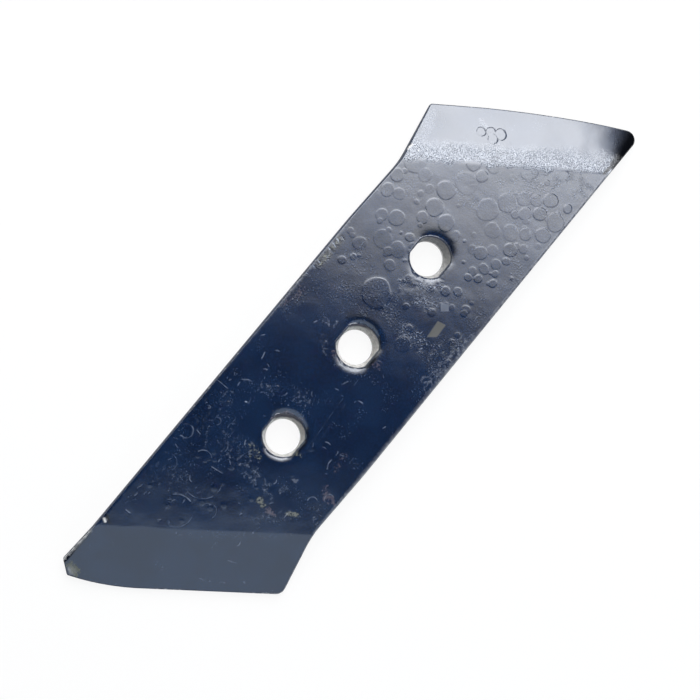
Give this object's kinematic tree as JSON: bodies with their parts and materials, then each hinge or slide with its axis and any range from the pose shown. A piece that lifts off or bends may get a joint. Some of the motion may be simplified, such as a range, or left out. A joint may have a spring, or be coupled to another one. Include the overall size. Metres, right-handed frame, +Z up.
{
  "type": "reversible plough point",
  "caption": "Flat forged steel plough point with slanted, bevelled ends that reverse end for end, and tapered bolt seats with flats along its middle.",
  "frame": {"origin": "the middle bolt hole's axis, at the flat underside", "axes": "+X along the line of bolt holes towards the end that is uppermost in the picture, +Z up out of the face that the bolt heads seat in, +Y across the bar"},
  "size_m": [0.3252, 0.0905, 0.012],
  "materials": {
    "painted_steel": "dark blue gloss paint over forged steel, with runs, pits, dust and bare worn edges"
  },
  "bodies": {
    "root": {"plough_point": "painted_steel"}
  },
  "joints": []
}
